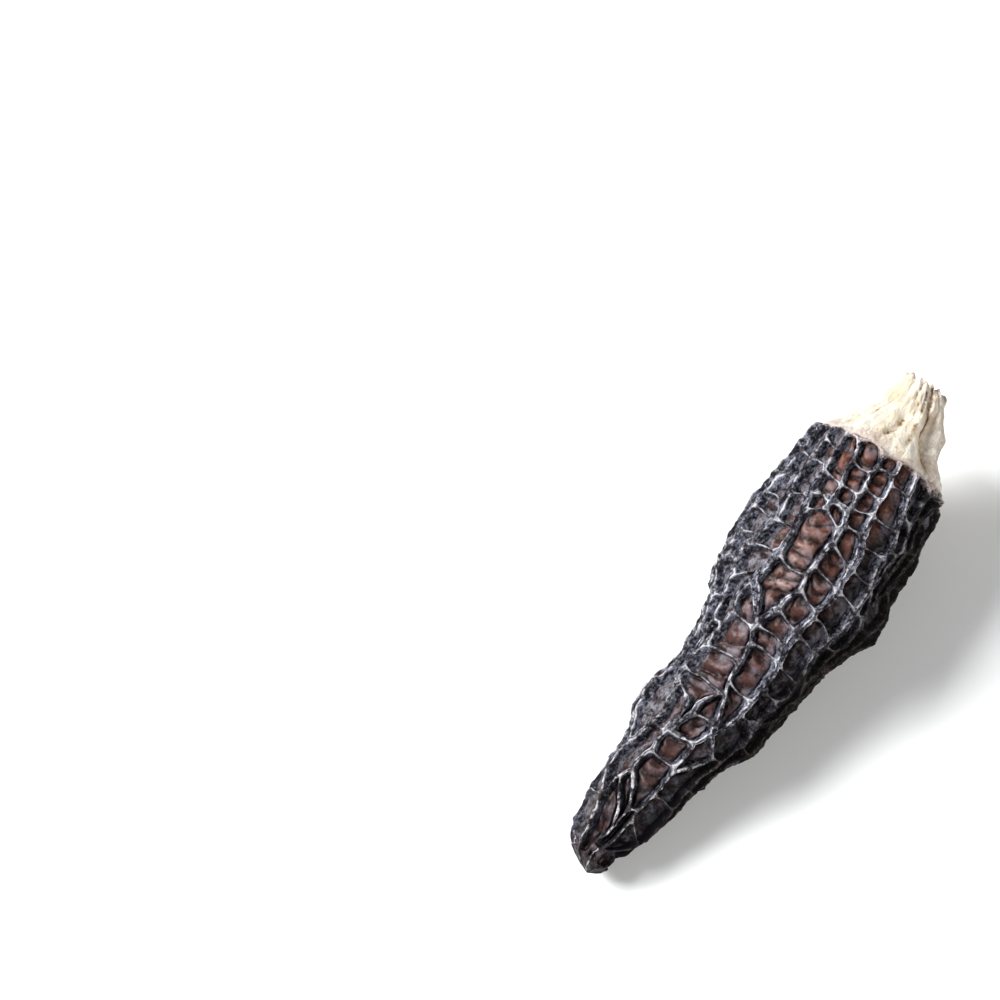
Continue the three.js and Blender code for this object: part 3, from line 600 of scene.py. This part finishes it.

# %% [markdown]
# The material needs the same numbers, and masks for the regions of the cap that differ in colour:
# the rim, the mottled left flank with dust and painted sheen, the right flank in painted shade, the
# left and upper sides that are painted as lit, the pale floor of the biggest pit with a painted
# highlight, and the right-hand side of each pit, which faces the light and gets less painted shade.


# %% Numbers for the material
def between(value, *borders):
    """A mask that is 1 within all of the borders, each given as where it is 0 and where it is 1."""
    mask = 1
    for nothing, full in borders:
        mask = mask * smoothstep(nothing, full, value)
    return mask


RIM = ((2.3, 0.3),)  # mm along
# the left flank, where dust and a painted sheen lie
LEFT_FLANK = ((-0.50, -0.90),)  # turns
# the right flank, painted in shade
RIGHT_FLANK = ((0.22, 0.45), (3.3, 2.2))
# the left and upper sides, painted as lit, lighter than the right
PAINTED_LIT_SIDES = ((0.9, 0.34), (-3.0, -2.2))
# the pale floor of the biggest pit: pale skin with a painted highlight
PALE_FLOOR = (21, -0.24)  # its middle, in mm along and in turn
PALE_FLOOR_HALF = (5.5, 0.20)  # and half its length and width
# the side of each pit that faces the light gets less painted shade, over this width
OPEN_WITHIN = 0.7  # mm

down_floor, over_floor = along - PALE_FLOOR[0], turn - PALE_FLOOR[1]
pale = np.exp(-((down_floor / PALE_FLOOR_HALF[0]) ** 2) - (over_floor / PALE_FLOOR_HALF[1]) ** 4)
for name, values in (
    ("gap", gap),
    ("web", web),
    ("into_floor", into_floor),
    ("lobe_turns", lobe_turns),
    ("crinkle_turns", crinkle_turns),
    ("rim", between(along, *RIM)),
    ("mottled", between(turn, *LEFT_FLANK)),
    ("shaded", between(turn, *RIGHT_FLANK)),
    ("painted_lit_side", between(turn, *PAINTED_LIT_SIDES)),
    ("pale", pale),
    ("along", along / CAP_LENGTH),
    ("lit_side_of_pit", np.clip((web_turn - turn) * radial / OPEN_WITHIN, 0, 1)),
):
    store(cap.data, name, values)
print("attributes:", [layer.name for layer in cap.data.attributes if layer.domain == "POINT"])

# %% [markdown]
# ## Helpers for materials
# Each helper adds nodes to the node tree that is being built, which is always kept in `tree`, and
# gives back a socket. So a colour is written like a sum, from masks and other colours.


# %% Nodes, values and masks
def add(kind, **settings):
    node = tree.nodes.new(kind)
    for name, value in settings.items():
        setattr(node, name, value)
    return node


def link(source, target):
    tree.links.new(source, target)


def feed(socket, value):
    """Link another socket, or write a plain number or colour, into a socket."""
    if isinstance(value, (int, float)):
        socket.default_value = value
    elif isinstance(value, tuple):
        socket.default_value = (*value, 1)
    else:
        link(value, socket)


def attribute(name):
    return add("ShaderNodeAttribute", attribute_name=name).outputs["Fac"]


def calc(operation, first, second=0.0):
    node = add("ShaderNodeMath", operation=operation)
    feed(node.inputs[0], first)
    feed(node.inputs[1], second)
    return node.outputs[0]


def times(first, *others):
    for other in others:
        first = calc("MULTIPLY", first, other)
    return first


def plus(first, *others):
    for other in others:
        first = calc("ADD", first, other)
    return first


def rest_of(value):
    return calc("SUBTRACT", 1.0, value)


def around(value, amount):
    """A noise value moved to swing about 0, by this amount."""
    return calc("MULTIPLY", calc("SUBTRACT", value, 0.5), amount)


def ramp(value, low, high):
    """0 at low, 1 at high, smooth between. It falls instead where low is the larger number."""
    node = add("ShaderNodeMapRange", interpolation_type="SMOOTHSTEP")
    feed(node.inputs["Value"], value)
    node.inputs["From Min"].default_value = low
    node.inputs["From Max"].default_value = high
    return node.outputs["Result"]


UNDER, OVER, MIXED = 6, 7, 2  # a Mix node's sockets for colours, which share names with others


def blend(share, under, over):
    """One colour laid over another, in the share that the mask gives."""
    node = add("ShaderNodeMix", data_type="RGBA")
    feed(node.inputs["Factor"], share)
    feed(node.inputs[UNDER], under)
    feed(node.inputs[OVER], over)
    return node.outputs[MIXED]


print("material helpers ready")

# %% [markdown]
# The noise that both kinds of flesh share is a node group, built once. Its grain is turned to run
# along the mushroom's own axis, and each material places it with its own scale and stretch.

# %% Node group for the grain of flesh
flesh_grain = bpy.data.node_groups.new("Flesh grain", "ShaderNodeTree")
tree = flesh_grain
for name, kind, start in (
    ("Scale", "NodeSocketFloat", 1000),
    ("Detail", "NodeSocketFloat", 3),
    ("Stretch", "NodeSocketVector", (1, 1, 1)),
):
    socket = tree.interface.new_socket(name, in_out="INPUT", socket_type=kind)
    socket.default_value = start
tree.interface.new_socket("Value", in_out="OUTPUT", socket_type="NodeSocketFloat")

given = add("NodeGroupInput").outputs
place = add("ShaderNodeTexCoord").outputs["Object"]
turned = add("ShaderNodeMapping")
turned.inputs["Rotation"].default_value = (ROLL, -LEAN, 0)
link(place, turned.inputs["Vector"])
link(given["Stretch"], turned.inputs["Scale"])
speckle = add("ShaderNodeTexNoise")
speckle.inputs["Roughness"].default_value = 0.65
link(turned.outputs["Vector"], speckle.inputs["Vector"])
link(given["Scale"], speckle.inputs["Scale"])
link(given["Detail"], speckle.inputs["Detail"])
link(speckle.outputs["Fac"], add("NodeGroupOutput").inputs["Value"])


def grain(scale, detail, stretch=(1, 1, 1)):
    """The flesh grain placed in a material, with its scale given per metre."""
    node = add("ShaderNodeGroup", node_tree=flesh_grain)
    node.inputs["Scale"].default_value = scale
    node.inputs["Detail"].default_value = detail
    node.inputs["Stretch"].default_value = stretch
    return node.outputs["Value"]


print("group sockets:", [item.name for item in flesh_grain.interface.items_tree])

# %% [markdown]
# ## Flesh of the cap
# Four looks lie side by side. Crests are rubbed to a pale grey line. Flanks are nearly black, with
# a blue-grey bloom in patches. Floors of pits are bare skin, brown and slightly glossy, redder near
# the base. The hollow inside is dull and buff. Over them lie painted light and painted shade: the
# left and upper sides are painted as lit, the right flank in shade, and pits darker in their folds
# and along their walls. The masks come from the point attributes, frayed with noise, so that no
# border is a clean line.

# %% Material of the cap, with its grains and masks
cap_flesh, cap_shader = principled("dried cap flesh", (0.03, 0.02, 0.02), 0.6)
cap_shader.inputs["IOR"].default_value = 1.25
cap_shader.inputs["Specular IOR Level"].default_value = 0.25
cap_shader.inputs["Coat Roughness"].default_value = 0.45
tree = cap_flesh.node_tree

fine = grain(5200, 3)
mottle = grain(2300, 4, (0.75, 1, 1))
patch = grain(650, 2)
patchy = plus(mottle, around(patch, 0.7))
gap_here = attribute("gap")
floor_here = attribute("into_floor")
on_web = attribute("web")
along_here = attribute("along")
painted_lit_side = attribute("painted_lit_side")
shaded = attribute("shaded")
lit_side_of_pit = attribute("lit_side_of_pit")
far_dark = ramp(along_here, 0.58, 0.90)
print("masks and grains:", len(tree.nodes), "nodes")

# %% Crests and lips, rubbed pale in a broken line, in painted shade on the right
RUBBED_TAN = (0.27, 0.215, 0.195)
RUBBED_GREY = (0.60, 0.585, 0.605)
SHADED_CREST = (0.075, 0.056, 0.047)

frayed = plus(gap_here, around(mottle, 0.16), around(fine, 0.08))
worn = ramp(plus(patch, around(mottle, 0.6), around(fine, 0.4)), 0.42, 0.62)
on_blade = times(ramp(frayed, 0.02, -0.06), ramp(frayed, -0.30, -0.13))
blade_line = times(on_blade, plus(times(worn, 0.65), 0.25))
from_lip = calc("ABSOLUTE", plus(frayed, 0.05))
lip_line = times(ramp(from_lip, 0.095, 0.03), plus(times(worn, 0.90), 0.06))
rubbed = plus(times(lip_line, on_web), times(blade_line, rest_of(on_web)))
rub_tone = blend(ramp(patch, 0.40, 0.62), RUBBED_TAN, RUBBED_GREY)
# crests away from the painted lit side are painted in shade
crest_colour = blend(painted_lit_side, SHADED_CREST, rub_tone)
print("crests:", len(tree.nodes), "nodes so far")

# %% Webs and flanks under a patchy blue-grey bloom with pale flecks and painted glints, in painted shade on the right
FLANK_BLACK = (0.008, 0.007, 0.010)
BLOOM_GREY = (0.165, 0.17, 0.215)
FLECK_AND_GLINT = (0.46, 0.46, 0.52)
FLANK_IN_SHADE = (0.005, 0.004, 0.004)
FLANK_AT_TIP = (0.010, 0.009, 0.012)

bloom = ramp(plus(patchy, around(fine, 0.2)), 0.38, 0.68)
flesh_colour = blend(bloom, FLANK_BLACK, BLOOM_GREY)
# pale flecks of bloom that also stand for painted glints
fleck_and_glint = times(ramp(fine, 0.53, 0.62), ramp(patchy, 0.52, 0.64), 0.75)
flesh_colour = blend(fleck_and_glint, flesh_colour, FLECK_AND_GLINT)
# flanks away from the painted lit side are painted in shade
flesh_colour = blend(times(rest_of(painted_lit_side), 0.95), flesh_colour, FLANK_IN_SHADE)
flesh_colour = blend(times(far_dark, 0.6), flesh_colour, FLANK_AT_TIP)
print("flanks:", len(tree.nodes), "nodes so far")

# %% [markdown]
# The skin of the floors is laid on in layers: brown, dark clouds, the pale floor of the biggest pit
# with a painted highlight, a dusting with painted sheen on the left, blue-black painted shade on the
# right, and then painted shade in folds and along walls, with a haze of bloom and painted light on
# the lit side.

# %% Bare skin of the floors, with painted sheen on the left and painted shade on the right
SKIN_AT_BASE = (0.170, 0.064, 0.038)
SKIN_AT_TIP = (0.090, 0.042, 0.038)
DARK_CLOUD = (0.040, 0.015, 0.012)
PALE_SKIN_AND_HIGHLIGHT = (0.35, 0.235, 0.215)
DUST_AND_SHEEN_DARK, DUST_AND_SHEEN_PALE = (0.020, 0.015, 0.017), (0.175, 0.175, 0.205)
BLUE_BLACK, BLUE_GREY = (0.004, 0.004, 0.005), (0.030, 0.034, 0.048)

skin = blend(ramp(along_here, 0.0, 0.55), SKIN_AT_BASE, SKIN_AT_TIP)
skin = blend(times(ramp(patch, 0.56, 0.42), 0.75), skin, DARK_CLOUD)
# pale skin on the floor of the biggest pit, with a painted highlight
paler_and_highlit = times(attribute("pale"), ramp(plus(patch, around(mottle, 0.15)), 0.30, 0.62))
skin = blend(paler_and_highlit, skin, PALE_SKIN_AND_HIGHLIGHT)
# dust on the left flank, with a painted sheen that lightens it
dust_and_sheen_share = plus(attribute("mottled"), around(patch, 3.0))
dust_and_sheen = blend(ramp(plus(mottle, around(fine, 0.35)), 0.36, 0.66), DUST_AND_SHEEN_DARK, DUST_AND_SHEEN_PALE)
skin = blend(times(ramp(dust_and_sheen_share, 0.35, 0.7), 0.9), skin, dust_and_sheen)
# painted shade on the right flank: blue-black, with paler patches
painted_shade_blue = blend(ramp(patchy, 0.48, 0.64), BLUE_BLACK, BLUE_GREY)
skin = blend(times(shaded, 0.97), skin, painted_shade_blue)
print("bare skin:", len(tree.nodes), "nodes so far")


# %% Painted shade of folds and walls, and haze of the floors
def fold_line(name, sharpness):
    """1 on a smooth lobe, falling to 0 in the crease between two of them."""
    wave = calc("SINE", times(attribute(name), math.pi))
    return calc("POWER", calc("ABSOLUTE", wave), sharpness)


PAINTED_FOLD_SHADE = (0.016, 0.006, 0.005)
PAINTED_WALL_SHADE = (0.009, 0.004, 0.004)
HAZE_GREY = (0.16, 0.14, 0.16)
SKIN_NEAR_TIP = (0.014, 0.008, 0.009)

lobes = fold_line("lobe_turns", 0.8)
crinkles = fold_line("crinkle_turns", 1.0)
# painted shade in the creases between lobes
skin = blend(times(ramp(lobes, 0.70, 0.10), 0.92), skin, PAINTED_FOLD_SHADE)
near_base = ramp(along_here, 0.34, 0.08)
# painted shade along the walls of each pit, narrower on the side that faces the light and near the
# base
open_floor = plus(floor_here, around(mottle, 0.5), times(near_base, 0.35), times(lit_side_of_pit, 0.75))
skin = blend(times(ramp(open_floor, 0.90, 0.0), 0.95), skin, PAINTED_WALL_SHADE)
# a haze of bloom, laid as painted light on the lit side and more on the side of each pit that faces
# the light
sheen_on_lit_side = times(lit_side_of_pit, ramp(floor_here, 1.0, 0.1), 0.20)
haze = ramp(plus(patch, around(fine, 0.3), sheen_on_lit_side), 0.50, 0.72)
skin = blend(times(haze, painted_lit_side, 0.6), skin, HAZE_GREY)
skin = blend(times(far_dark, rest_of(shaded), 0.6), skin, SKIN_NEAR_TIP)
print("folds and walls:", len(tree.nodes), "nodes so far")

# %% Put the colours of the cap together
RIM_PALE = (0.52, 0.43, 0.40)
HOLLOW_BUFF = (0.28, 0.20, 0.13)

border = plus(times(on_web, 0.42), 0.10)  # mm, over which flank and skin mingle
mingled = calc("DIVIDE", gap_here, border)
floor_share = ramp(plus(mingled, around(mottle, 2.2), around(patch, 1.4)), 0.5, 1.1)
colour = blend(floor_share, flesh_colour, skin)
colour = blend(rubbed, colour, crest_colour)
bleed = plus(attribute("rim"), around(mottle, 1.8), around(floor_share, -0.5))
colour = blend(times(ramp(bleed, 0.45, 0.95), 0.9), colour, RIM_PALE)
colour = blend(attribute("inside"), colour, HOLLOW_BUFF)
link(colour, cap_shader.inputs["Base Color"])
print("colours joined:", len(tree.nodes), "nodes so far")

# %% Gloss and relief of the cap
roughness = plus(times(floor_share, -0.30), 0.74, around(fine, 0.2))
link(roughness, cap_shader.inputs["Roughness"])
wax = times(floor_share, rest_of(times(shaded, 0.6)), ramp(mottle, 0.30, 0.65), 0.5)
link(wax, cap_shader.inputs["Coat Weight"])


def relief(height, scale, shader):
    """A bump on the shader, from a height given in units of this many metres."""
    bump = add("ShaderNodeBump")
    bump.inputs["Distance"].default_value = scale
    link(height, bump.inputs["Height"])
    link(bump.outputs["Normal"], shader.inputs["Normal"])


rough_relief = times(plus(times(mottle, 0.32), times(fine, 0.12)), rest_of(times(floor_share, 0.85)))
smooth_relief = times(plus(times(lobes, 0.45), times(crinkles, 0.05)), floor_share)
relief(plus(rough_relief, smooth_relief), 1 * MM, cap_shader)
cap.data.materials.append(cap_flesh)
print("cap material nodes:", len(tree.nodes))

# %% [markdown]
# ## The stem
# The stem is a short pale tube that flares to the rim of the cap. Its broad folds are in the solid.
# The copy is drawn out a little to meet the cap and smoothed. It is then given fine flutes along it,
# dry creases, and a ragged, torn edge where it was cut.

# %% Weld, draw out and smooth the stem
REACH_IN = 0.5  # mm, so that the flare closes the seam against the cap

stem = welded_copy("stem", "fluted_stem")
pair_triangles(stem, 50)
stem_points = points_of(stem.data)
flare = smoothstep(-1.6, 0.0, own_places(stem_points)[:, 0])
move_points(stem.data, stem_points + TO_TIP * (flare * REACH_IN * MM)[:, None])
subdivide(stem, 3)

# %% Flutes, fibres and dents
STEM_BEND = ([-10.7, -7.5, -5, 0], [-1.1, -0.3, 0.05, 0.2])  # its middle across, by mm along
STEM_RADIUS = 5  # mm, of the cylinder on which the noise is read

flesh = points_of(stem.data)
places = own_places(flesh)
along = places[:, 0]
off = places[:, 1] - np.interp(along, *STEM_BEND)
radial = np.hypot(off, places[:, 2])
turn = np.arctan2(off, places[:, 2])
on_ring = np.column_stack([along, STEM_RADIUS * np.sin(turn), STEM_RADIUS * np.cos(turn)])

flute = wrinkle(on_ring, (0.12, 0.7, 0.7), 5)
fibre = wrinkle(on_ring, (0.45, 1.7, 1.7), 6)
dent = wrinkle(on_ring, (0.5, 0.5, 0.5), 7)
pucker = wrinkle(on_ring, (1.1, 1.6, 1.6), 17)
tear = wrinkle(on_ring, (0.1, 1.0, 1.0), 8) + 0.35 * wrinkle(on_ring, (0.2, 2.4, 2.4), 9)
print("stem from", round(float(along.min()), 1), "to", round(float(along.max()), 1), "mm along")

# %% [markdown]
# The creases run mostly along the stem. Each fades in at its start and out at its end, and strays
# from its line a little, as all of them do together.

# %% Dry creases
CREASES = (  # along from and to, turn from and to, depth and half width, in mm
    (-10.9, -1.2, 0.17, 0.52, 0.60, 0.50),
    (-10.6, -7.0, -0.30, -0.26, 0.22, 0.30),
    (-9.6, -6.0, 0.02, 0.12, 0.28, 0.32),
    (-4.8, -0.2, -0.20, -0.30, 0.12, 0.45),
    (-7.6, -4.9, -0.12, -0.05, 0.12, 0.30),
    (-5.2, -0.8, 0.10, 0.16, 0.10, 0.40),
    (-2.9, -0.2, 0.52, 0.80, 0.30, 0.25),
    (-8.0, -1.0, 1.00, 1.15, 0.35, 0.30),
    (-9.0, -2.0, -0.90, -1.00, 0.20, 0.30),
    (-9.5, -1.5, 2.20, 2.00, 0.40, 0.35),
    (-10.0, -3.0, -2.30, -1.90, 0.40, 0.35),
)
strays = 0.10 * wrinkle(on_ring, (0.28, 0.1, 0.1), 15) + 0.02 * wrinkle(on_ring, (1.2, 0.1, 0.1), 16)
groove, crease = np.zeros((2, len(turn)))
for start, end, turn_start, turn_end, depth, half in CREASES:
    share = (along - start) / (end - start)
    aside = (turn - strays - turn_start - (turn_end - turn_start) * share) * np.maximum(radial, 2)
    line = np.exp(-((aside / half) ** 2)) * smoothstep(0, 0.08, share) * smoothstep(1, 0.75, share)
    groove = np.maximum(groove, depth * line)
    crease = np.maximum(crease, line)
print("creases:", len(CREASES), "deepest:", round(float(groove.max()), 2), "mm")

# %% Shape the stem
LONG_CREASE = ([-10.9, -2.4, 0], [0.17, 0.50, 0.62])  # its turn, by mm along
# the side of the stem that is painted in shade
OUTER_SIDE = ((-0.02, 0.12), (3.0, 2.4))  # turns, the first counted from the long crease

outward = rows_of(stem.data.vertex_normals, "vector", 3)
facing = outward @ np.array(LYING) * [1, -1, 1]
facing = facing[:, 1] * np.sin(turn) + facing[:, 2] * np.cos(turn)  # 1 outside, -1 in the hollow
lift = 0.20 * flute + 0.12 * fibre + 0.14 * dent + 0.07 * pucker - groove  # mm
lift *= smoothstep(0.6, -1.2, along) * smoothstep(-0.1, 0.4, facing)
at_cut = smoothstep(-9.2, -10.7, along)
at_flare = smoothstep(-1.8, -0.3, along)
shift = at_cut * (0.25 + 0.50 * tear) + at_flare * rim_line(turn)
flesh = flesh + outward * lift[:, None] * MM + TO_TIP * (shift * MM)[:, None]
move_points(stem.data, flesh)

beyond = turn - strays - np.interp(along, *LONG_CREASE)
for name, values in (
    ("along", along),
    ("flute", flute),
    ("crease", crease * np.clip(0.55 + groove, 0, 1)),
    ("painted_shade_side", between(beyond, OUTER_SIDE[0]) * between(turn, OUTER_SIDE[1])),
):
    store(stem.data, name, values)
print("stem lifted or sunk by up to", round(float(np.abs(lift).max()), 2), "mm")

# %% [markdown]
# ## Flesh of the stem
# The stem is ivory, with a straw tone in broad patches. The side beyond the longest crease is
# greyer, as painted shade. Valleys and creases are darkened brown as painted shade, deepest where
# the creases are deepest; a few brown specks lie elsewhere, and a dull pink-brown seeps down from
# the rim of the cap.

# %% Material of the stem
IVORY, STRAW = (0.68, 0.635, 0.55), (0.62, 0.52, 0.38)
PAINTED_SHADE_GREY = (0.36, 0.28, 0.235)
PAINTED_VALLEY_SHADE = (0.45, 0.30, 0.16)
PAINTED_CREASE_SHADE = (0.42, 0.29, 0.16)
PAINTED_DEEP_CREASE_SHADE = (0.14, 0.078, 0.045)
SPECK_BROWN = (0.30, 0.19, 0.11)
RIM_SEEP = (0.34, 0.24, 0.22)

stem_flesh, stem_shader = principled("dried stem flesh", (0.75, 0.68, 0.52), 0.8)
tree = stem_flesh.node_tree
fine = grain(3000, 4, (0.35, 1, 1))
broad = grain(350, 3)
spots = grain(1500, 3)
in_crease = attribute("crease")

stained = blend(ramp(broad, 0.35, 0.7), IVORY, STRAW)
# painted shade on the side beyond the longest crease
side = times(attribute("painted_shade_side"), ramp(plus(broad, around(spots, 0.6)), 0.30, 0.58))
stained = blend(times(side, 0.6), stained, PAINTED_SHADE_GREY)
# painted shade, tinted brown, in the valleys of the flutes and in the creases, deepest in the deepest
# creases
stained = blend(times(ramp(attribute("flute"), -0.15, -0.6), 0.35), stained, PAINTED_VALLEY_SHADE)
tint = ramp(plus(in_crease, around(spots, 1.8), around(broad, 0.8)), 0.22, 0.90)
stained = blend(times(tint, 0.85), stained, PAINTED_CREASE_SHADE)
deep = ramp(plus(in_crease, around(spots, 2.0)), 0.55, 1.0)
stained = blend(times(deep, 0.9), stained, PAINTED_DEEP_CREASE_SHADE)
speck = times(ramp(spots, 0.60, 0.68), ramp(broad, 0.45, 0.60))
stained = blend(times(speck, 0.7), stained, SPECK_BROWN)
near_rim = plus(attribute("along"), around(fine, 4.0), around(spots, 4.0), around(broad, 4.0))
stained = blend(times(ramp(near_rim, -0.6, 0.3), 0.5), stained, RIM_SEEP)
link(stained, stem_shader.inputs["Base Color"])
relief(fine, 0.35 * MM, stem_shader)
stem.data.materials.append(stem_flesh)
print("stem material nodes:", len(tree.nodes))

# %% [markdown]
# ## Handing over
# Both dressed pieces ride on the one body and stand for their solids.

for piece, node, slot in ((cap, "cap", "cap_flesh"), (stem, "stem", "stem_flesh")):
    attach(piece, "root")
    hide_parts(node)

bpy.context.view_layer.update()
